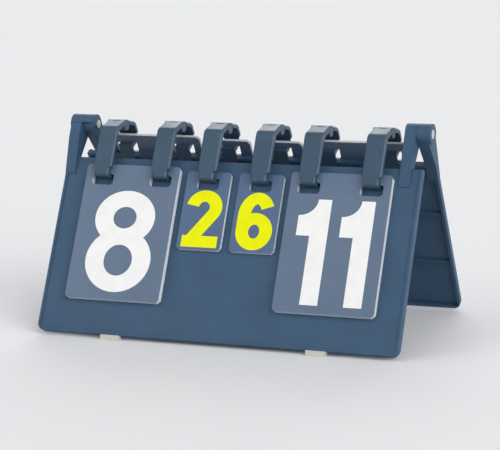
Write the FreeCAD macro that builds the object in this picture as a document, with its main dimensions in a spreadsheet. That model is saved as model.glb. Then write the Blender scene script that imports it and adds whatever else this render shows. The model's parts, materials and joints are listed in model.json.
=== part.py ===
import FreeCAD, Part
import math
import os

import Sketcher

# Flip scoreboard: two hinged panels that stand as an A, six hinged ring clips
# across the top, and four sets of number cards hung on the rings.
# The origin is on the table, midway between the panels. +X is to the viewer's
# right, +Y is to the rear and +Z is up. Lengths are in millimetres.
#
# Each panel, with what it carries, is drawn in its own panel frame: the origin
# is on the hinge axis, Z runs up the panel and -Y points out of its face. The
# Placement leans it by half the spread, and turns it round for the rear.

SHEET = "Sizes"

SIZES = {
    # Panels
    "panel_width": 385.0,
    "slope_length": 221.0,
    "half_spread": 27.5,
    "top_drop": 38.0,
    "closed_gap": 0.8,
    "panel_depth": 6.6,
    "face_recess": 1.0,
    "plate_thickness": 2.2,
    "rim_width": 3.0,
    "panel_corner": 8.0,
    "rim_softening": 0.6,
    "rib_thickness": 1.6,
    "rib_setback": 0.8,
    # Hinge ears, rivets and the stop that holds the panels apart
    "ear_width": 11.0,
    "boss_overhang": 3.0,
    "ear_radius": 10.0,
    "ear_gap": 0.3,
    "neck_drop": 56.0,
    "shoulder_reach": 13.2,
    "shoulder_drop": 3.0,
    "shoulder_length": 15.0,
    "stop_gap": 0.3,
    "stop_height": 5.0,
    "rivet_radius": 2.5,
    "rivet_head_radius": 4.5,
    "rivet_head_height": 1.8,
    "rivet_tail_radius": 4.2,
    "rivet_tail_height": 1.6,
    "head_clearance": 0.2,
    "running_clearance": 0.05,
    # Feet
    "foot_length": 20.0,
    "foot_height": 2.0,
    "foot_place": 108.0,
    # Ring clips
    "ring_width": 20.0,
    "barrel_radius": 5.5,
    "middle_knuckle": 7.4,
    "knuckle_gap": 0.3,
    "barrel_gap": 0.4,
    "ring_bar_radius": 2.0,
    "snap_mouth": 3.4,
    "strap_thickness": 4.5,
    "strap_reach": 14.5,
    "arm_lean": 40.0,
    "elbow_radius": 7.0,
    "inner_elbow_bevel": 1.8,
    "strap_softening": 1.3,
    "tab_width": 15.0,
    "tab_thickness": 4.5,
    "front_seat_drop": 56.0,
    "rear_seat_drop": 27.0,
    "waist_rise": 11.0,
    "foot_grip": 3.0,
    "clip_length": 14.0,
    "fit_gap": 0.2,
    # Cards
    "card_thickness": 0.8,
    "card_pitch": 1.2,
    "card_corner": 4.0,
    "inner_card_corner": 3.0,
    "card_rest_gap": 0.3,
    "big_card_margin": 9.0,
    "small_card_margin": 6.0,
    "small_card_width": 47.0,
    "row_margin": 27.0,
    "set_gap": 8.0,
    "middle_gap": 9.0,
    "card_foot_margin": 34.3,
    "small_card_step": 9.0,
    "hole_width": 23.0,
    "hole_height": 12.5,
    "hole_corner": 2.5,
    "ring_inset": 19.5,
    "big_front_count": 4.0,
    "big_rear_count": 2.0,
    "small_front_count": 2.0,
    "small_rear_count": 2.0,
    "overrun": 5.0,
}


class Size:
    """A length or an angle, with the sheet expression that it follows."""

    def __init__(self, value, text):
        self.value = float(value)
        self.text = text

    @staticmethod
    def of(other):
        if isinstance(other, Size):
            return other
        return Size(other, repr(other))

    def __add__(self, other):
        other = Size.of(other)
        return Size(self.value + other.value, "(%s + %s)" % (self.text, other.text))

    def __sub__(self, other):
        other = Size.of(other)
        return Size(self.value - other.value, "(%s - %s)" % (self.text, other.text))

    def __mul__(self, other):
        other = Size.of(other)
        return Size(self.value * other.value, "(%s * %s)" % (self.text, other.text))

    def __truediv__(self, other):
        other = Size.of(other)
        return Size(self.value / other.value, "(%s / %s)" % (self.text, other.text))

    def __neg__(self):
        return Size(-self.value, "(-1 * %s)" % self.text)

    def sin(self):
        return Size(math.sin(math.radians(self.value)), "sin(%s)" % self.text)

    def cos(self):
        return Size(math.cos(math.radians(self.value)), "cos(%s)" % self.text)


ZERO = Size(0, "0")


# Document, sheet and bodies

doc = FreeCAD.newDocument("FlipScoreboard")
sheet = doc.addObject("Spreadsheet::Sheet", SHEET)
for row, (alias, number) in enumerate(SIZES.items(), start=1):
    sheet.set("A%d" % row, alias.replace("_", " "))
    sheet.set("B%d" % row, str(number))
    sheet.setAlias("B%d" % row, alias)
doc.recompute()


def size(alias):
    return Size(SIZES[alias], "%s.%s" % (SHEET, alias))


panel_width = size("panel_width")
slope_length = size("slope_length")
half_spread = size("half_spread")
top_drop = size("top_drop")
inner_face = size("closed_gap") / 2
rim_face = inner_face + size("panel_depth")
plate_face = rim_face - size("face_recess")
plate_back = plate_face - size("plate_thickness")
rim_width = size("rim_width")
half_width = panel_width / 2
side_face = half_width - size("boss_overhang")
overrun = size("overrun")

# The row of cards fills the panel's width. The big cards hang to near its lower
# edge, and the small ones to a step below the middle of that reach.
card_widths = {"small": size("small_card_width")}
card_widths["big"] = (
    side_face
    - size("row_margin")
    - size("set_gap")
    - card_widths["small"]
    - size("middle_gap") / 2
)
big_place = side_face - size("row_margin") - card_widths["big"] / 2
small_place = (size("middle_gap") + card_widths["small"]) / 2
ring_spread = card_widths["big"] / 2 - size("ring_inset")
front_hole_drop = size("front_seat_drop") - size("card_rest_gap")
card_reach = slope_length - size("card_foot_margin") - front_hole_drop
card_lengths = {
    "big": card_reach + size("big_card_margin"),
    "small": card_reach / 2 + size("small_card_step") + size("small_card_margin"),
}

# The inner corner of each panel's lower edge stands one foot height up
pin_height = (
    slope_length * half_spread.cos()
    - inner_face * half_spread.sin()
    + size("foot_height")
)

NODES = []


def new_body(name, side, across=ZERO):
    """A body in the frame of the front or the rear panel, moved across it."""
    body = doc.addObject("PartDesign::Body", name)
    body.Label = name
    body.AllowCompound = True
    turn = 180 if side == "rear" else 0
    lean = -half_spread
    place = FreeCAD.Vector(across.value, 0, pin_height.value)
    body.Placement = FreeCAD.Placement(place, FreeCAD.Rotation(turn, 0, lean.value))
    form = "create(<<placement>>; create(<<vector>>; %s; 0; %s); create(<<rotation>>; %d; 0; %s))"
    body.setExpression("Placement", form % (across.text, pin_height.text, turn, lean.text))
    NODES.append(body)
    return body


def plane(body, role):
    return [item for item in body.Origin.OriginFeatures if item.Role == role][0]


def new_sketch(body, role, offset=ZERO):
    """An empty sketch on a plane of the body, moved along that plane's normal."""
    sketch = body.newObject("Sketcher::SketchObject", body.Name + "_sketch")
    sketch.AttachmentSupport = [(plane(body, role), "")]
    sketch.MapMode = "FlatFace"
    sketch.AttachmentOffset = FreeCAD.Placement(
        FreeCAD.Vector(0, 0, offset.value), FreeCAD.Rotation()
    )
    sketch.setExpression("AttachmentOffset.Base.z", offset.text)
    return sketch


def bind(sketch, kind, where, target):
    index = sketch.addConstraint(Sketcher.Constraint(kind, *where, target.value))
    sketch.setExpression("Constraints[%d]" % index, target.text)


def draw_outline(sketch, points):
    """A closed outline of straight sides, each corner bound to the sheet."""
    corners = [FreeCAD.Vector(across.value, up.value, 0) for across, up in points]
    following = corners[1:] + corners[:1]
    sides = []
    for start, end in zip(corners, following):
        sides.append(sketch.addGeometry(Part.LineSegment(start, end), False))
    for side, after in zip(sides, sides[1:] + sides[:1]):
        sketch.addConstraint(Sketcher.Constraint("Coincident", side, 2, after, 1))
    for side, (across, up) in zip(sides, points):
        bind(sketch, "DistanceX", (-1, 1, side, 1), across)
        bind(sketch, "DistanceY", (-1, 1, side, 1), up)


def draw_box(sketch, left, right, low, high):
    draw_outline(sketch, [(left, low), (right, low), (right, high), (left, high)])


def draw_circle(sketch, radius, across=ZERO, up=ZERO):
    centre = FreeCAD.Vector(across.value, up.value, 0)
    round_edge = Part.Circle(centre, FreeCAD.Vector(0, 0, 1), radius.value)
    index = sketch.addGeometry(round_edge, False)
    bind(sketch, "Radius", (index,), radius)
    bind(sketch, "DistanceX", (-1, 1, index, 3), across)
    bind(sketch, "DistanceY", (-1, 1, index, 3), up)


def revolve(body, sketch):
    """Turns a sketch once round its own horizontal axis."""
    feature = body.newObject("PartDesign::Revolution", body.Name + "_revolution")
    feature.Profile = sketch
    feature.ReferenceAxis = (sketch, ["H_Axis"])
    doc.recompute()


def add_feature(body, kind, sketch, length, midplane=False, backwards=False):
    """Pads or pockets a sketch and checks that the solid changed."""
    before = body.Shape.Volume if body.Tip else 0
    feature = body.newObject("PartDesign::" + kind, body.Name + "_" + kind.lower())
    feature.Profile = sketch
    feature.Midplane = midplane
    feature.Reversed = backwards
    feature.Length = length.value
    feature.setExpression("Length", length.text)
    doc.recompute()
    change = feature.Shape.Volume - before
    if kind == "Pad" and change <= 0 or kind == "Pocket" and change >= 0:
        raise RuntimeError("%s changes nothing" % feature.Name)
    return feature


def pad(body, sketch, length, midplane=False, backwards=False):
    return add_feature(body, "Pad", sketch, length, midplane, backwards)


def pocket(body, sketch, length, midplane=False, backwards=False):
    return add_feature(body, "Pocket", sketch, length, midplane, backwards)


def dress_edges(body, kind, measure, length, chosen):
    """Fillets or chamfers the edges of the body's tip that the test picks."""
    base = body.Tip
    names = []
    for index, edge in enumerate(base.Shape.Edges, start=1):
        if chosen(edge):
            names.append("Edge%d" % index)
    if not names:
        raise RuntimeError("no edge to dress on " + body.Name)
    feature = body.newObject("PartDesign::" + kind, body.Name + "_" + kind.lower())
    feature.Base = (base, names)
    setattr(feature, measure, length.value)
    feature.setExpression(measure, length.text)
    doc.recompute()
    if feature.Shape.Volume == base.Shape.Volume:
        raise RuntimeError("%s changes nothing" % feature.Name)


def round_edges(body, radius, chosen):
    dress_edges(body, "Fillet", "Radius", radius, chosen)


def bevel_edges(body, length, chosen):
    dress_edges(body, "Chamfer", "Size", length, chosen)


def runs_along(edge, axis):
    """True for a straight edge that is parallel to the axis."""
    if edge.Curve.TypeId != "Part::GeomLine":
        return False
    return abs(edge.Curve.Direction.dot(axis)) > math.cos(math.radians(1))


def near(value, target):
    return abs(value - target.value) < size("fit_gap").value


X_AXIS = FreeCAD.Vector(1, 0, 0)
Y_AXIS = FreeCAD.Vector(0, 1, 0)
Z_AXIS = FreeCAD.Vector(0, 0, 1)


# Panels

ring_places = [
    -big_place - ring_spread,
    -big_place + ring_spread,
    -small_place,
    small_place,
    big_place - ring_spread,
    big_place + ring_spread,
]

outboard_ear = side_face - size("ear_width")
inboard_ear = outboard_ear - size("ear_gap") - size("ear_width")


def draw_ear(sketch, shoulder):
    """The ear's neck in side view, with the shoulder that the stop rests on."""
    low = -size("neck_drop")
    cheek = size("ear_radius") - size("ear_gap")
    points = [(-inner_face, low), (-inner_face, -top_drop), (cheek, ZERO)]
    if shoulder:
        reach = size("shoulder_reach")
        top = -size("shoulder_drop")
        points.append((ZERO, top))
        points.append((-reach, top))
        points.append((-reach, top - size("shoulder_length")))
    else:
        points.append((-cheek, ZERO))
        points.append((-cheek, -size("shoulder_length")))
    points.append((-rim_face, low))
    draw_outline(sketch, points)


def add_ears(body):
    """An outboard ear with a shoulder, and an inboard ear at the other end.

    The two panels are alike and stand back to back, so each outboard ear is
    beside the other panel's inboard one.
    """
    width = size("ear_width")
    for start, boss_start, shoulder in (
        (-side_face, -half_width, True),
        (inboard_ear, inboard_ear, False),
    ):
        neck = new_sketch(body, "YZ_Plane", start)
        draw_ear(neck, shoulder)
        pad(body, neck, width)
        boss = new_sketch(body, "YZ_Plane", boss_start)
        draw_circle(boss, size("ear_radius"))
        pad(body, boss, start + width - boss_start)


def panel(name, side):
    """A moulded tray with a rim, ribs behind its plate, and two hinge ears."""
    body = new_body(name, side)
    block = new_sketch(body, "XZ_Plane", inner_face)
    draw_box(block, -side_face, side_face, -slope_length, -top_drop)
    pad(body, block, size("panel_depth"))

    def lower_corner(edge):
        return runs_along(edge, Y_AXIS) and near(edge.CenterOfMass.z, -slope_length)

    round_edges(body, size("panel_corner"), lower_corner)

    def front_rim(edge):
        on_face = near(edge.BoundBox.YMin, -rim_face) and near(edge.BoundBox.YMax, -rim_face)
        top = runs_along(edge, X_AXIS) and near(edge.CenterOfMass.z, -top_drop)
        return on_face and not top

    bevel_edges(body, size("rim_softening"), front_rim)

    inside = side_face - rim_width
    floor = -slope_length + rim_width
    hollow = new_sketch(body, "XZ_Plane", inner_face)
    draw_box(hollow, -inside, inside, floor, -top_drop - rim_width)
    pocket(body, hollow, plate_back - inner_face, backwards=True)
    recess = new_sketch(body, "XZ_Plane", rim_face)
    draw_box(recess, -inside, inside, floor, -top_drop + overrun)
    pocket(body, recess, size("face_recess"))

    rib = size("rib_thickness")
    setback = inner_face + size("rib_setback")
    depth = plate_back - setback + size("fit_gap")
    upright = new_sketch(body, "XZ_Plane", setback)
    between = (big_place - ring_spread + small_place) / 2
    for place in (ZERO, between, -between, big_place, -big_place):
        draw_box(upright, place - rib / 2, place + rib / 2, floor, -top_drop - rim_width)
    pad(body, upright, depth)
    for share in (1, 2):
        drop = top_drop + (slope_length - top_drop) * share / 3
        level = new_sketch(body, "XZ_Plane", setback)
        draw_box(level, -inside, inside, -drop - rib / 2, -drop + rib / 2)
        pad(body, level, depth)

    add_ears(body)
    add_stop(body)
    bore = new_sketch(body, "YZ_Plane")
    draw_circle(bore, size("rivet_radius") + size("running_clearance"))
    pocket(body, bore, panel_width + overrun, midplane=True)
    head_seat = new_sketch(body, "YZ_Plane", -half_width)
    draw_circle(head_seat, size("rivet_head_radius") + size("head_clearance"))
    pocket(body, head_seat, size("rivet_head_height"), backwards=True)
    if side == "front":
        cut_ring_slots(body)
    else:
        cut_ring_notches(body)


def add_stop(body):
    """The lip of the inboard ear, which rests on the other panel's shoulder."""
    drop = size("shoulder_drop") - size("stop_gap")
    inner = size("ear_radius") + size("ear_gap")
    outer = size("shoulder_reach")
    turn = half_spread * 2

    def turned(reach, rise):
        # A point of the other panel's frame, in this one's
        across = reach * turn.cos() + rise * turn.sin()
        up = rise * turn.cos() - reach * turn.sin()
        return (-across, up)

    def lip(start):
        low = -drop
        high = low + size("stop_height")
        corners = [(start, low), (outer, low), (outer, high), (start, high)]
        return [turned(-reach, rise) for reach, rise in corners]

    width = size("ear_width")
    root = new_sketch(body, "YZ_Plane", inboard_ear)
    draw_outline(root, lip(inner / 2))
    pad(body, root, width)
    over = new_sketch(body, "YZ_Plane", inboard_ear + width)
    draw_outline(over, lip(inner))
    pad(body, over, width + size("ear_gap"))


def cut_ring_slots(body):
    """Slots through the front plate for the tabs of the ring clips."""
    gap = size("fit_gap")
    half = size("tab_width") / 2 + gap
    low = -size("front_seat_drop") - size("tab_thickness") - gap
    high = -size("front_seat_drop") + gap
    slots = new_sketch(body, "XZ_Plane", inner_face)
    for place in ring_places:
        draw_box(slots, place - half, place + half, low, high)
    pocket(body, slots, size("panel_depth"), backwards=True)


def cut_ring_notches(body):
    """Notches in the rear top rim, and the windows that the clips snap into."""
    gap = size("fit_gap")
    half = size("tab_width") / 2 + gap
    low = -top_drop - rim_width - gap
    notches = new_sketch(body, "XZ_Plane", inner_face)
    for place in ring_places:
        draw_box(notches, place - half, place + half, low, -top_drop + overrun)
    pocket(body, notches, plate_back - inner_face, backwards=True)
    windows = new_sketch(body, "XZ_Plane", plate_back)
    half_nub = size("foot_grip") + gap
    middle = -top_drop - (size("clip_length") + rim_width) / 2
    for place in ring_places:
        left = place - half_nub
        draw_box(windows, left, place + half_nub, middle - half_nub, middle + half_nub)
    pocket(body, windows, size("plate_thickness"), backwards=True)


# Hinge rivets and feet


def hinge_rivet(name, sign):
    """A rivet with its head in an outboard ear and its tail at an inboard one."""
    body = new_body(name, "front")
    radius = size("rivet_radius")
    head = half_width - size("rivet_head_height")
    head_radius = size("rivet_head_radius")
    tail = inboard_ear - size("ear_gap")
    tail_end = tail - size("rivet_tail_height")
    tail_radius = size("rivet_tail_radius")
    outline = [
        (tail_end, ZERO),
        (tail_end, tail_radius),
        (tail, tail_radius),
        (tail, radius),
        (head, radius),
        (head, head_radius),
        (half_width, head_radius),
        (half_width, ZERO),
    ]
    profile = new_sketch(body, "XZ_Plane")
    draw_outline(profile, [(along * sign, out) for along, out in outline])
    revolve(body, profile)


def foot(name, side, across):
    """A rubber wedge under the lower edge, flat on the table."""
    body = new_body(name, side, across)
    lean = half_spread

    def floor_at(depth):
        # The table's height in the panel frame, at a depth out of its face
        return -(pin_height + depth * lean.sin()) / lean.cos()

    profile = new_sketch(body, "YZ_Plane")
    draw_outline(
        profile,
        [
            (-inner_face, -slope_length),
            (-inner_face, floor_at(inner_face)),
            (-rim_face, floor_at(rim_face)),
            (-rim_face, -slope_length),
        ],
    )
    pad(body, profile, size("foot_length"), midplane=True)


# Ring clips


def strap(name, side, across):
    """One half of a ring clip: knuckle, arm, leg, and the tab into the panel.

    The front half has two knuckles with a bar moulded between them. The rear
    half has the middle knuckle, which snaps over the bar.
    """
    body = new_body(name, side, across)
    front = side == "front"
    drop = size("front_seat_drop") if front else size("rear_seat_drop")
    radius = size("barrel_radius")
    thick = size("strap_thickness")
    reach = size("strap_reach")
    lean = size("arm_lean")
    outside = reach + thick
    foot_back = inner_face + size("rib_setback")
    tab_low = -drop - size("tab_thickness")

    def on_arm(offset, depth):
        # Height of a line that leans away from the barrel, at a depth
        return (offset - depth * lean.sin()) / lean.cos()

    profile = new_sketch(body, "YZ_Plane")
    draw_outline(
        profile,
        [
            (-(radius - thick) * lean.sin(), (radius - thick) * lean.cos()),
            (-radius * lean.sin(), radius * lean.cos()),
            (-outside, on_arm(radius, outside)),
            (-outside, tab_low),
            (-foot_back, tab_low),
            (-foot_back, -drop),
            (-reach, -drop),
            (-reach, on_arm(radius - thick, reach)),
        ],
    )
    pad(body, profile, size("ring_width"), midplane=True)

    def outer_elbow(edge):
        top = near(edge.CenterOfMass.z, on_arm(radius, outside))
        return runs_along(edge, X_AXIS) and near(edge.CenterOfMass.y, -outside) and top

    def lower_elbow(edge):
        low = near(edge.CenterOfMass.z, tab_low)
        return runs_along(edge, X_AXIS) and near(edge.CenterOfMass.y, -outside) and low

    def inner_elbow(edge):
        top = near(edge.CenterOfMass.z, on_arm(radius - thick, reach))
        return runs_along(edge, X_AXIS) and near(edge.CenterOfMass.y, -reach) and top

    round_edges(body, size("elbow_radius"), outer_elbow)
    bevel_edges(body, size("inner_elbow_bevel"), lower_elbow)
    bevel_edges(body, size("inner_elbow_bevel"), inner_elbow)

    # The tab is narrower than the leg
    waist = -drop + size("waist_rise")
    inner = size("tab_width") / 2
    outer = size("ring_width") / 2 + overrun
    taper = outer - inner
    sides = new_sketch(body, "XZ_Plane")
    for sign in (1, -1):
        points = [
            (inner * sign, tab_low - overrun),
            (outer * sign, tab_low - overrun),
            (outer * sign, waist),
            (inner * sign, waist - taper),
        ]
        draw_outline(sides, points)
    pocket(body, sides, outside + overrun, backwards=True)

    def outer_face_side(edge):
        return runs_along(edge, Z_AXIS) and near(edge.CenterOfMass.y, -outside)

    bevel_edges(body, size("strap_softening"), outer_face_side)

    barrel = new_sketch(body, "YZ_Plane")
    draw_circle(barrel, radius)
    pad(body, barrel, size("ring_width"), midplane=True)

    # Room for the knuckles of the other half, with the bar or its snap bearing
    middle = size("middle_knuckle")
    clear = radius + size("barrel_gap")
    if front:
        opening = middle + size("knuckle_gap") * 2
        room = new_sketch(body, "YZ_Plane")
        draw_box(room, -clear, clear, -clear, clear)
        pocket(body, room, opening, midplane=True)
        bar = new_sketch(body, "YZ_Plane")
        draw_circle(bar, size("ring_bar_radius"))
        pad(body, bar, opening + size("knuckle_gap"), midplane=True)
    else:
        length = (size("ring_width") - middle) / 2
        for start in (middle / 2, -size("ring_width") / 2):
            room = new_sketch(body, "YZ_Plane", start)
            draw_box(room, -clear, clear, -clear, clear)
            pocket(body, room, length, backwards=True)
        bore = new_sketch(body, "YZ_Plane")
        draw_circle(bore, size("ring_bar_radius") + size("running_clearance"))
        pocket(body, bore, middle + overrun, midplane=True)
        half_mouth = size("snap_mouth") / 2
        mouth = new_sketch(body, "YZ_Plane")
        draw_box(mouth, -half_mouth, half_mouth, -clear, ZERO)
        pocket(body, mouth, middle + overrun, midplane=True)

    # The foot behind the plate
    gap = size("fit_gap")
    grip = size("foot_grip")
    foot_sketch = new_sketch(body, "XZ_Plane", foot_back)
    if front:
        draw_box(foot_sketch, -inner, inner, tab_low - grip, -drop + grip)
    else:
        draw_box(foot_sketch, -inner, inner, -top_drop - size("clip_length"), -drop)
    pad(body, foot_sketch, plate_back - gap - foot_back)
    if not front:
        centre = top_drop + size("clip_length") / 2 + rim_width / 2
        nub = new_sketch(body, "XZ_Plane", foot_back)
        draw_box(nub, -grip, grip, -centre - grip, -centre + grip)
        pad(body, nub, plate_face - gap - foot_back)


# Cards


def cards(name, side, across, kind, first, count):
    """A pack of separate cards, hung by their holes on the tabs of the rings."""
    body = new_body(name, side, across)
    width = card_widths[kind]
    length = card_lengths[kind]
    margin = size(kind + "_card_margin")
    seat = size("front_seat_drop") if side == "front" else size("rear_seat_drop")
    hole_top = -seat + size("card_rest_gap")
    hole_low = hole_top - size("hole_height")
    top = hole_top + margin
    low = top - length
    half_hole = size("hole_width") / 2
    if kind == "big":
        hole_places = [-ring_spread, ring_spread]
    else:
        hole_places = [ZERO]
    face = new_sketch(body, "XZ_Plane", first)
    draw_box(face, -width / 2, width / 2, low, top)
    for place in hole_places:
        draw_box(face, place - half_hole, place + half_hole, hole_low, hole_top)
    pad(body, face, size("card_thickness"))

    def card_corner(edge):
        at_side = near(abs(edge.CenterOfMass.x), width / 2)
        return runs_along(edge, Y_AXIS) and at_side

    def hole_corner(edge):
        at_side = near(abs(edge.CenterOfMass.x), width / 2)
        return runs_along(edge, Y_AXIS) and not at_side

    if not count:
        bevel_edges(body, size("hole_corner"), hole_corner)
    if side == "front" and not count:
        round_edges(body, size("card_corner"), card_corner)
    else:
        bevel_edges(body, size("inner_card_corner"), card_corner)
    if count:
        pattern = body.newObject("PartDesign::LinearPattern", name + "_pattern")
        pattern.TransformMode = "Whole shape"
        pattern.Direction = (plane(body, "Y_Axis"), [""])
        pattern.Reversed = True
        pattern.Mode = "Spacing"
        pattern.setExpression("Offset", "%s.card_pitch" % SHEET)
        pattern.setExpression("Occurrences", count.text)
        body.Tip = pattern
        doc.recompute()


def card_set(name, across, kind):
    """The pack, its front card, and the cards already turned to the rear."""
    pitch = size("card_pitch")
    first = plate_face + size("card_rest_gap")
    front_count = size(kind + "_front_count")
    rear_count = size(kind + "_rear_count")
    cards(name + "_front_pack", "front", across, kind, first, front_count)
    cards(name + "_front_card", "front", across, kind, first + pitch * front_count, None)
    cards(name + "_rear_pack", "rear", across, kind, first, rear_count)
    cards(name + "_rear_card", "rear", across, kind, first + pitch * rear_count, None)


# The whole scoreboard

panel("front_panel", "front")
panel("rear_panel", "rear")
hinge_rivet("hinge_rivet_left", -1)
hinge_rivet("hinge_rivet_right", 1)
for end, way in (("left", -1), ("right", 1)):
    foot("front_foot_" + end, "front", size("foot_place") * way)
    foot("rear_foot_" + end, "rear", size("foot_place") * way)
for number, place in enumerate(ring_places, start=1):
    strap("ring_%d_front" % number, "front", place)
    strap("ring_%d_rear" % number, "rear", place)
card_set("left_points", -big_place, "big")
card_set("left_games", -small_place, "small")
card_set("right_games", small_place, "small")
card_set("right_points", big_place, "big")

doc.recompute()

for item in doc.Objects:
    if "Invalid" in item.State or "Error" in item.State:
        raise RuntimeError("%s failed: %s" % (item.Name, item.State))
for body in NODES:
    if body.Shape.isNull() or not body.Shape.isValid():
        raise RuntimeError("%s has no valid shape" % body.Label)

os.makedirs("parts", exist_ok=True)
for body in NODES:
    body.Shape.exportStep(os.path.join("parts", body.Label + ".step"))
    print(body.Label, len(body.Shape.Solids), round(body.Shape.Volume))
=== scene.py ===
import json
import math

import bmesh
import bpy
from mathutils import Matrix, Vector


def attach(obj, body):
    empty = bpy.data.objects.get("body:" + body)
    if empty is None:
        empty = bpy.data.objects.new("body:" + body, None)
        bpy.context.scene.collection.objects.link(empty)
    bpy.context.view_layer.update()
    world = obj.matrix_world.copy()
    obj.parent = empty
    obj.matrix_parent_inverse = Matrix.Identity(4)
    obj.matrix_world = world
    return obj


# Flip scoreboard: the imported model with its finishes, the printed numerals,
# the floor, the lights and the camera. Lengths are in metres.

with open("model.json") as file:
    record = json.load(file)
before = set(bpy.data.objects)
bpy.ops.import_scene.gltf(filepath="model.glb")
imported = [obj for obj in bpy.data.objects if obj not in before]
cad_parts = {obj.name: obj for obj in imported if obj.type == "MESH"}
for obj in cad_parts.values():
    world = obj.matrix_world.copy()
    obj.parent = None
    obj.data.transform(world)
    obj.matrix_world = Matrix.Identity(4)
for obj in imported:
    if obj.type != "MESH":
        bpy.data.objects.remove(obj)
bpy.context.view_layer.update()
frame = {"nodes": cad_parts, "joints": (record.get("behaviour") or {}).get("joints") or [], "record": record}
scene = bpy.context.scene

# Each panel leans by half of the angle that the fold closes
fold = next(joint for joint in frame["joints"] if joint["name"] == "fold")
LEAN = -math.radians(fold["range_deg"][0]) / 2

# Up each panel and out of its face, at rest
UP = {
    "front": Vector((0, math.sin(LEAN), math.cos(LEAN))),
    "rear": Vector((0, -math.sin(LEAN), math.cos(LEAN))),
}
OUT = {
    "front": Vector((0, -math.cos(LEAN), math.sin(LEAN))),
    "rear": Vector((0, math.cos(LEAN), math.sin(LEAN))),
}


# Materials
#
# Each finish wanders between a colour and its shade. Most values of a noise
# lie between NOISE_LOW and NOISE_HIGH, so the whole change is put there.

PANEL_COLOUR = (0.038, 0.086, 0.152)
PANEL_SHADE = (0.034, 0.077, 0.136)
CLIP_COLOUR = (0.036, 0.074, 0.119)
CLIP_SHADE = (0.030, 0.063, 0.103)
CARD_COLOURS = {
    "points": (0.108, 0.156, 0.236),
    "games": (0.075, 0.128, 0.224),
}
CARD_SHADES = {
    "points": (0.100, 0.144, 0.218),
    "games": (0.070, 0.119, 0.208),
}
CARD_CORE = (0.93, 0.94, 0.95)
CARD_SEAM = (0.66, 0.68, 0.71)
FOOT_COLOUR = (0.56, 0.54, 0.49)
FOOT_SHADE = (0.48, 0.46, 0.42)
STEEL_COLOUR = (0.72, 0.73, 0.75)
STEEL_SHADE = (0.60, 0.61, 0.63)
WHITE_INK = (0.86, 0.86, 0.84)
WHITE_SHADE = (0.82, 0.82, 0.80)
YELLOW_INK = (0.82, 0.84, 0.002)
YELLOW_SHADE = (0.78, 0.79, 0.002)
FLOOR_COLOUR = (0.84, 0.84, 0.845)
FLOOR_SHADE = (0.832, 0.832, 0.837)

NOISE_LOW = 0.35
NOISE_HIGH = 0.65
NOISE_DETAIL = 3.0

# The thickness of one drawn leaf, and the shares of it between which the
# darker seam turns white
LEAF = 0.0004
SEAM_START = 0.02
SEAM_END = 0.16

# A surface is a card's face, and not its cut edge, where its normal lies at
# least this much along the card's own
FACE_LIMIT = 0.7


class Finish:
    """A material under construction, on its Principled shader."""

    def __init__(self, name, metallic=0.0, specular=0.5):
        self.material = bpy.data.materials.new(name)
        self.material.use_nodes = True
        self.tree = self.material.node_tree
        self.shader = self.tree.nodes["Principled BSDF"]
        self.shader.inputs["Metallic"].default_value = metallic
        self.shader.inputs["Specular IOR Level"].default_value = specular
        coordinates = self.node("ShaderNodeTexCoord")
        self.place = coordinates.outputs["Object"]
        self.normal = coordinates.outputs["Normal"]

    def node(self, kind, **settings):
        """A new node with its settings."""
        node = self.tree.nodes.new(kind)
        for name, value in settings.items():
            setattr(node, name, value)
        return node

    def link(self, source, target):
        """Feed an input from an output."""
        self.tree.links.new(source, target)

    def noise(self, grains_per_metre):
        """Noise that is fixed to the piece."""
        node = self.node("ShaderNodeTexNoise")
        node.inputs["Scale"].default_value = grains_per_metre
        node.inputs["Detail"].default_value = NOISE_DETAIL
        self.link(self.place, node.inputs["Vector"])
        return node.outputs["Fac"]

    def along(self, source, direction):
        """How far a vector reaches along a direction."""
        product = self.node("ShaderNodeVectorMath", operation="DOT_PRODUCT")
        self.link(source, product.inputs[0])
        product.inputs[1].default_value = direction
        return product.outputs["Value"]

    def calculate(self, operation, source, value=None):
        """One step of arithmetic on an output."""
        step = self.node("ShaderNodeMath", operation=operation)
        self.link(source, step.inputs[0])
        if value is not None:
            step.inputs[1].default_value = value
        return step.outputs[0]

    def blend(self, low, high, factor, start=NOISE_LOW, end=NOISE_HIGH):
        """A colour that goes from low to high as the factor rises."""
        ramp = self.node("ShaderNodeValToRGB")
        ramp.color_ramp.elements[0].position = start
        ramp.color_ramp.elements[0].color = (*low, 1)
        ramp.color_ramp.elements[1].position = end
        ramp.color_ramp.elements[1].color = (*high, 1)
        self.link(factor, ramp.inputs["Fac"])
        return ramp.outputs["Color"]

    def mottle(self, shade, colour, patches_per_metre):
        """A colour that wanders to its shade and back over the surface."""
        return self.blend(shade, colour, self.noise(patches_per_metre))

    def colour(self, source):
        """Take the surface's colour from an output."""
        self.link(source, self.shader.inputs["Base Color"])

    def gloss(self, smooth, rough, patches_per_metre):
        """A roughness that wanders between two values over the surface."""
        spread = self.node("ShaderNodeMapRange")
        self.link(self.noise(patches_per_metre), spread.inputs["Value"])
        spread.inputs["From Min"].default_value = NOISE_LOW
        spread.inputs["From Max"].default_value = NOISE_HIGH
        spread.inputs["To Min"].default_value = smooth
        spread.inputs["To Max"].default_value = rough
        self.link(spread.outputs["Result"], self.shader.inputs["Roughness"])

    def grain(self, grains_per_metre, depth, strength):
        """Fine surface texture, as a bump of that depth."""
        bump = self.node("ShaderNodeBump")
        bump.inputs["Strength"].default_value = strength
        bump.inputs["Distance"].default_value = depth
        self.link(self.noise(grains_per_metre), bump.inputs["Height"])
        self.link(bump.outputs["Normal"], self.shader.inputs["Normal"])


def panel_plastic():
    """Dark blue moulded plastic with a fine grain."""
    finish = Finish("panel_plastic", specular=0.3)
    finish.gloss(smooth=0.50, rough=0.60, patches_per_metre=22)
    finish.colour(finish.mottle(PANEL_SHADE, PANEL_COLOUR, patches_per_metre=35))
    finish.grain(grains_per_metre=2600, depth=0.00012, strength=0.5)
    return finish.material


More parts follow.
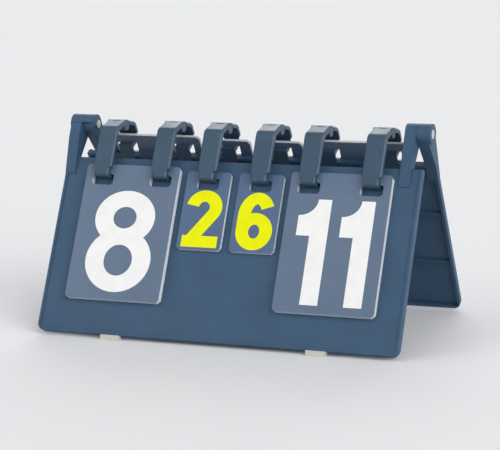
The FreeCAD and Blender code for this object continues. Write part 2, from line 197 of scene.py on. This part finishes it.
def clip_plastic():
    """The clips' plastic, smoother and a little darker than the panels."""
    finish = Finish("ring_plastic", specular=0.35)
    finish.gloss(smooth=0.35, rough=0.45, patches_per_metre=45)
    finish.colour(finish.mottle(CLIP_SHADE, CLIP_COLOUR, patches_per_metre=60))
    finish.grain(grains_per_metre=1800, depth=0.00005, strength=0.4)
    return finish.material


def foot_rubber():
    """Light grey rubber, matt and slightly mottled."""
    finish = Finish("foot_rubber", specular=0.3)
    finish.gloss(smooth=0.80, rough=0.90, patches_per_metre=150)
    finish.colour(finish.mottle(FOOT_SHADE, FOOT_COLOUR, patches_per_metre=220))
    finish.grain(grains_per_metre=1500, depth=0.0001, strength=0.6)
    return finish.material


def pin_steel():
    """Bright plated steel, slightly uneven."""
    finish = Finish("pin_steel", metallic=1.0)
    finish.gloss(smooth=0.22, rough=0.34, patches_per_metre=700)
    finish.colour(finish.mottle(STEEL_SHADE, STEEL_COLOUR, patches_per_metre=900))
    finish.grain(grains_per_metre=3000, depth=0.00002, strength=0.3)
    return finish.material


def card_plastic(kind, side):
    """Cards printed blue on both faces, with the white core at their cut edges."""
    finish = Finish(kind + "_card_" + side, specular=0.35)
    finish.gloss(smooth=0.37, rough=0.47, patches_per_metre=18)
    printed = finish.mottle(CARD_SHADES[kind], CARD_COLOURS[kind], patches_per_metre=28)

    # Fine lines along the edges, where one thin leaf lies on the next
    leaves = finish.calculate("DIVIDE", finish.along(finish.place, OUT[side]), LEAF)
    within_leaf = finish.calculate("FRACT", leaves)
    core = finish.blend(CARD_SEAM, CARD_CORE, within_leaf, start=SEAM_START, end=SEAM_END)

    flatness = finish.calculate("ABSOLUTE", finish.along(finish.normal, OUT[side]))
    on_face = finish.calculate("GREATER_THAN", flatness, FACE_LIMIT)
    choice = finish.node("ShaderNodeMix", data_type="RGBA")
    finish.link(on_face, choice.inputs["Factor"])
    finish.link(core, choice.inputs["A"])
    finish.link(printed, choice.inputs["B"])
    finish.colour(choice.outputs["Result"])
    finish.grain(grains_per_metre=1400, depth=0.00003, strength=0.35)
    return finish.material


def ink(name, shade, colour):
    """A screen-printed ink, with a slightly uneven film."""
    finish = Finish(name, specular=0.12)
    finish.gloss(smooth=0.44, rough=0.56, patches_per_metre=60)
    finish.colour(finish.mottle(shade, colour, patches_per_metre=90))
    finish.grain(grains_per_metre=2200, depth=0.00002, strength=0.4)
    return finish.material


FINISHES = {
    "panel_plastic": panel_plastic(),
    "ring_plastic": clip_plastic(),
    "foot_rubber": foot_rubber(),
    "pin_steel": pin_steel(),
}
CARD_FINISHES = {(kind, side): card_plastic(kind, side) for kind in CARD_COLOURS for side in OUT}
INKS = {
    "points": ink("white_ink", WHITE_SHADE, WHITE_INK),
    "games": ink("yellow_ink", YELLOW_SHADE, YELLOW_INK),
}


def kind_of(node):
    """The kind of score that a card or pack shows."""
    return "games" if "_games_" in node else "points"


def paint(piece, material):
    """Give a piece one material all over."""
    piece.data.materials.clear()
    piece.data.materials.append(material)


for subpart in frame["record"]["subparts"]:
    name = subpart["node"]
    if subpart["material_slot"] == "card_plastic":
        side = "rear" if "_rear_" in name else "front"
        paint(frame["nodes"][name], CARD_FINISHES[kind_of(name), side])
    else:
        paint(frame["nodes"][name], FINISHES[subpart["material_slot"]])


# Numerals
#
# A digit is drawn one unit high, from its foot at height 0, and centred across.
# A stroke is an open centre line, a loop is a closed one, and both are drawn
# at one width. A plate is a filled outline.

# About the angle from one point of an arc to the next
ARC_STEP = math.radians(7.5)

# The smallest divisor of a mitre, which reaches out to twice the half stroke at most
MITRE_LIMIT = 0.5

# Heights within a digit
WAIST = 0.545
FLAG_TOP = 0.843
FLAG_FOOT = 0.650
TWO_BOWL_MIDDLE = 0.70
HOOK_HEIGHT = 0.30


def arc(across, up, half_width, half_height, start, end):
    """Points along an ellipse, from one angle to another in degrees."""
    first, last = math.radians(start), math.radians(end)
    count = max(2, round(abs(last - first) / ARC_STEP))
    angles = [first + (last - first) * step / count for step in range(count + 1)]
    return [(across + half_width * math.cos(a), up + half_height * math.sin(a)) for a in angles]


def oval(across, up, half_width, half_height):
    """Points round a whole ellipse, the first one not repeated."""
    return arc(across, up, half_width, half_height, start=0, end=360)[:-1]


def digit_shapes(digit, half, stroke):
    """A digit's strokes, loops and plates, as kinds with their points.

    The centre lines reach half to each side of the middle. The numbers in a
    branch are that digit's own proportions and angles.
    """
    low = stroke / 2
    top = 1 - low
    lower = (WAIST - low) / 2
    upper = (top - WAIST) / 2
    outer = half + low
    if digit == "0":
        over = arc(0, top - half, half, half, start=0, end=180)
        under = arc(0, low + half, half, half, start=180, end=360)
        return [("loop", over + under)]
    if digit == "1":
        right = stroke * 0.88
        left = right - stroke
        flag = arc(-right, 1, left + right + low / 2, 1 - FLAG_TOP, start=0, end=-90)
        stem = [(-right, FLAG_FOOT), (left, FLAG_FOOT), (left, 0), (right, 0), (right, 1)]
        return [("plate", flag + stem)]
    if digit == "2":
        bowl = arc(0, TWO_BOWL_MIDDLE, half, top - TWO_BOWL_MIDDLE, start=172, end=-38)
        neck_end = (-half + low * 0.4, low * 1.3)
        base = [(-outer, low), (outer, low)]
        return [("stroke", bowl + [neck_end]), ("stroke", base)]
    if digit == "3":
        narrow = half * 0.9
        above = arc(0, WAIST + upper, narrow, upper, start=160, end=-90)
        below = arc(0, low + lower, half, lower, start=90, end=-160)
        notch = [(-half * 0.35, WAIST), (0, WAIST)]
        return [("stroke", above), ("stroke", below), ("stroke", notch)]
    if digit == "5":
        bowl_middle, bowl_height = low + half * 1.15, half * 1.2
        bowl = arc(0, bowl_middle, half, bowl_height, start=138, end=-158)
        bar = [(-half * 0.9 - low, top), (outer * 0.92, top)]
        stem = [(-half * 0.82, top), (-half * 0.92, low + half * 1.8)]
        return [("stroke", bowl), ("stroke", bar), ("stroke", stem)]
    if digit in ("6", "9"):
        bowl = oval(0, low + lower, half, lower)
        hook = arc(0, top - HOOK_HEIGHT, half, HOOK_HEIGHT, start=180, end=28)
        shapes = [("loop", bowl), ("stroke", [(-half, low + lower)] + hook)]
        if digit == "9":
            shapes = [(kind, [(-x, 1 - y) for x, y in line]) for kind, line in shapes]
        return shapes
    if digit == "7":
        bar = [(-outer, top), (outer, top)]
        leg = [(half * 0.92, top), (half * 0.4, 0.66), (-half * 0.05, 0.38), (-half * 0.35, 0)]
        return [("stroke", bar), ("stroke", leg)]
    if digit == "8":
        narrow = half * 0.89
        above = oval(0, WAIST + upper, narrow, upper)
        below = oval(0, low + lower, half, lower)
        return [("loop", above), ("loop", below)]
    raise ValueError("no outline for the digit " + digit)


def stroke_sides(line, closed, half_stroke):
    """The two sides of a stroke along a centre line, mitred at its points."""
    points = [Vector(point) for point in line]
    left, right = [], []
    for index, point in enumerate(points):
        before = points[index - 1] if closed or index else point
        after = points[(index + 1) % len(points)] if closed or index + 1 < len(points) else point
        ways = [way.normalized() for way in (point - before, after - point) if way.length > 0]
        along = sum(ways, Vector((0, 0))).normalized()
        side = Vector((-along.y, along.x))
        mitre = half_stroke / max(MITRE_LIMIT, along.dot(ways[0]))
        left.append(point + side * mitre)
        right.append(point - side * mitre)
    return left, right


def add_stroke(mesh, line, closed, half_stroke, place, base, film):
    """One stroke as a thin raised film, put in place by a function."""
    left, right = stroke_sides(line, closed, half_stroke)
    rings = []
    for a, b in zip(left, right):
        corners = [(a, base), (a, film), (b, film), (b, base)]
        rings.append([mesh.verts.new(place(point, height)) for point, height in corners])
    pairs = list(zip(rings, rings[1:]))
    if closed:
        pairs.append((rings[-1], rings[0]))
    else:
        mesh.faces.new(rings[0])
        mesh.faces.new(rings[-1][::-1])
    for ring, following in pairs:
        for index in range(len(ring)):
            mesh.faces.new((ring[index - 1], following[index - 1], following[index], ring[index]))


def add_plate(mesh, line, place, base, film):
    """A filled outline as a thin raised film."""
    points = [Vector(point) for point in line]
    top = [mesh.verts.new(place(point, film)) for point in points]
    foot = [mesh.verts.new(place(point, base)) for point in points]
    mesh.faces.new(top)
    mesh.faces.new(foot[::-1])
    for index in range(len(points)):
        mesh.faces.new((top[index - 1], top[index], foot[index], foot[index - 1]))


# Printed sizes: the numeral's height and its gap to the card's foot, in metres.
# The rest is in parts of the height: a digit's stroke, the half width of its
# centre lines, and the widening of the whole digit.
PRINTS = {
    "points": {
        "height": 0.1050,
        "foot": 0.0080,
        "single": {"stroke": 0.160, "half": 0.203, "widening": 1.20},
        "pair": {"stroke": 0.155, "half": 0.105, "widening": 1.12},
    },
    "games": {
        "height": 0.0585,
        "foot": 0.0028,
        "single": {"stroke": 0.200, "half": 0.188, "widening": 1.13},
        "pair": {"stroke": 0.170, "half": 0.105, "widening": 1.00},
    },
}
PAIR_PITCH = 0.42

# Heights over the card's face: the ink's top, the step from one stroke of a
# digit to the next, so that no two tops lie in one plane, and the ink's foot,
# just inside the card.
FILM = 0.00008
LAYER = 0.00001
SEAT = -0.00004


def reach(node, direction):
    """The lowest and highest place of a node along a direction, at rest."""
    places = [corner.co.dot(direction) for corner in frame["nodes"][node].data.vertices]
    return min(places), max(places)


def numeral(name, number, node, side, body, back=False):
    """A printed number on a card's face, or on its back, that rides on a body."""
    kind = kind_of(node)
    print_size = PRINTS[kind]
    height = print_size["height"]
    digits = str(number)
    style = print_size["pair" if len(digits) > 1 else "single"]

    up, out = UP[side], OUT[side]
    left, right = reach(node, Vector((1, 0, 0)))
    card_foot = reach(node, up)[0]
    inner, outer = reach(node, out)
    normal = -out if back else out
    across = up.cross(normal)
    middle = Vector(((left + right) / 2, 0, 0))
    origin = middle + up * (card_foot + print_size["foot"]) + out * (inner if back else outer)

    mesh = bmesh.new()
    for index, digit in enumerate(digits):
        shift = (index - (len(digits) - 1) / 2) * PAIR_PITCH

        def place(point, depth):
            flat = across * ((point.x * style["widening"] + shift) * height) + up * (point.y * height)
            return origin + flat + normal * depth

        for layer, (shape, line) in enumerate(digit_shapes(digit, style["half"], style["stroke"])):
            film = FILM + layer * LAYER
            if shape == "plate":
                add_plate(mesh, line, place, SEAT, film)
            else:
                add_stroke(mesh, line, shape == "loop", style["stroke"] / 2, place, SEAT, film)
    bmesh.ops.recalc_face_normals(mesh, faces=mesh.faces)
    data = bpy.data.meshes.new(name)
    mesh.to_mesh(data)
    mesh.free()
    piece = bpy.data.objects.new(name, data)
    scene.collection.objects.link(piece)
    paint(piece, INKS[kind])
    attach(piece, body)


# The number that each set shows. With its front card turned over, both sides
# show the next number, and with its rear card turned over, the one before.
SHOWN = {"left_points": 8, "left_games": 2, "right_games": 6, "right_points": 11}

for name, number in SHOWN.items():
    front, rear = name + "_front_card", name + "_rear_card"
    numeral(front + "_face_number", number, front, "front", front)
    numeral(front + "_back_number", number + 1, front, "front", front, back=True)
    numeral(rear + "_face_number", number, rear, "rear", rear)
    numeral(rear + "_back_number", number - 1, rear, "rear", rear, back=True)
    front_pack, rear_pack = name + "_front_pack", name + "_rear_pack"
    numeral(front_pack + "_number", number + 1, front_pack, "front", "front_frame")
    numeral(rear_pack + "_number", number - 1, rear_pack, "rear", "rear_frame")


# Floor, lights and camera

FLOOR_SIZE = 120
STUDIO_LIGHT = (0.80, 0.82, 0.85)
STUDIO_STRENGTH = 0.5
BACKDROP = (0.86, 0.86, 0.865)

AIM = Vector((0.0, 0.0, 0.100))
CAMERA_AZIMUTH = math.radians(22.6)
CAMERA_ELEVATION = math.radians(11.0)
CAMERA_ROLL = math.radians(-1.6)
CAMERA_DISTANCE = 1.90
CAMERA_LENS = 136.0
CAMERA_RANGE = 60


def floor_finish():
    """A plain pale floor without gloss."""
    finish = Finish("floor", specular=0.0)
    finish.gloss(smooth=0.85, rough=0.95, patches_per_metre=3)
    finish.colour(finish.mottle(FLOOR_SHADE, FLOOR_COLOUR, patches_per_metre=3))
    return finish.material


bpy.ops.mesh.primitive_plane_add(size=FLOOR_SIZE)
floor = bpy.context.object
floor.name = "floor"
paint(floor, floor_finish())


def sun(name, source, softness, strength):
    """A light from the direction of a point, its softness an angle in degrees."""
    light = bpy.data.lights.new(name, "SUN")
    light.angle = math.radians(softness)
    light.energy = strength
    piece = bpy.data.objects.new(name, light)
    piece.rotation_euler = Vector(source).to_track_quat("Z", "Y").to_euler()
    scene.collection.objects.link(piece)


sun("key", (0.85, -0.80, 0.85), softness=35, strength=1.00)
sun("side", (0.95, -0.32, 0.20), softness=45, strength=1.75)
sun("fill", (-0.90, -0.65, 0.50), softness=50, strength=0.68)
sun("back", (-0.25, 0.95, 0.50), softness=45, strength=1.35)

# The world lights the board evenly, and is seen and mirrored as pale as the floor
world = bpy.data.worlds.new("studio")
world.use_nodes = True
tree = world.node_tree
studio = tree.nodes["Background"]
studio.inputs["Color"].default_value = (*STUDIO_LIGHT, 1)
studio.inputs["Strength"].default_value = STUDIO_STRENGTH
backdrop = tree.nodes.new("ShaderNodeBackground")
backdrop.inputs["Color"].default_value = (*BACKDROP, 1)
rays = tree.nodes.new("ShaderNodeLightPath")
seen = rays.outputs["Is Camera Ray"]
for ray in ("Is Glossy Ray", "Is Transmission Ray"):
    either_ray = tree.nodes.new("ShaderNodeMath")
    either_ray.operation = "MAXIMUM"
    tree.links.new(seen, either_ray.inputs[0])
    tree.links.new(rays.outputs[ray], either_ray.inputs[1])
    seen = either_ray.outputs[0]
surface = tree.nodes.new("ShaderNodeMixShader")
tree.links.new(seen, surface.inputs["Fac"])
tree.links.new(studio.outputs["Background"], surface.inputs[1])
tree.links.new(backdrop.outputs["Background"], surface.inputs[2])
tree.links.new(surface.outputs["Shader"], tree.nodes["World Output"].inputs["Surface"])
scene.world = world
scene.view_settings.view_transform = "Standard"

camera = bpy.data.objects.new("camera", bpy.data.cameras.new("camera"))
toward_camera = Vector(
    (
        math.sin(CAMERA_AZIMUTH) * math.cos(CAMERA_ELEVATION),
        -math.cos(CAMERA_AZIMUTH) * math.cos(CAMERA_ELEVATION),
        math.sin(CAMERA_ELEVATION),
    )
)
camera.location = AIM + toward_camera * CAMERA_DISTANCE
upright = toward_camera.to_track_quat("Z", "Y").to_matrix().to_4x4()
camera.rotation_euler = (upright @ Matrix.Rotation(CAMERA_ROLL, 4, "Z")).to_euler()
camera.data.lens = CAMERA_LENS
camera.data.clip_end = CAMERA_RANGE
scene.collection.objects.link(camera)
scene.camera = camera

bpy.context.view_layer.update()
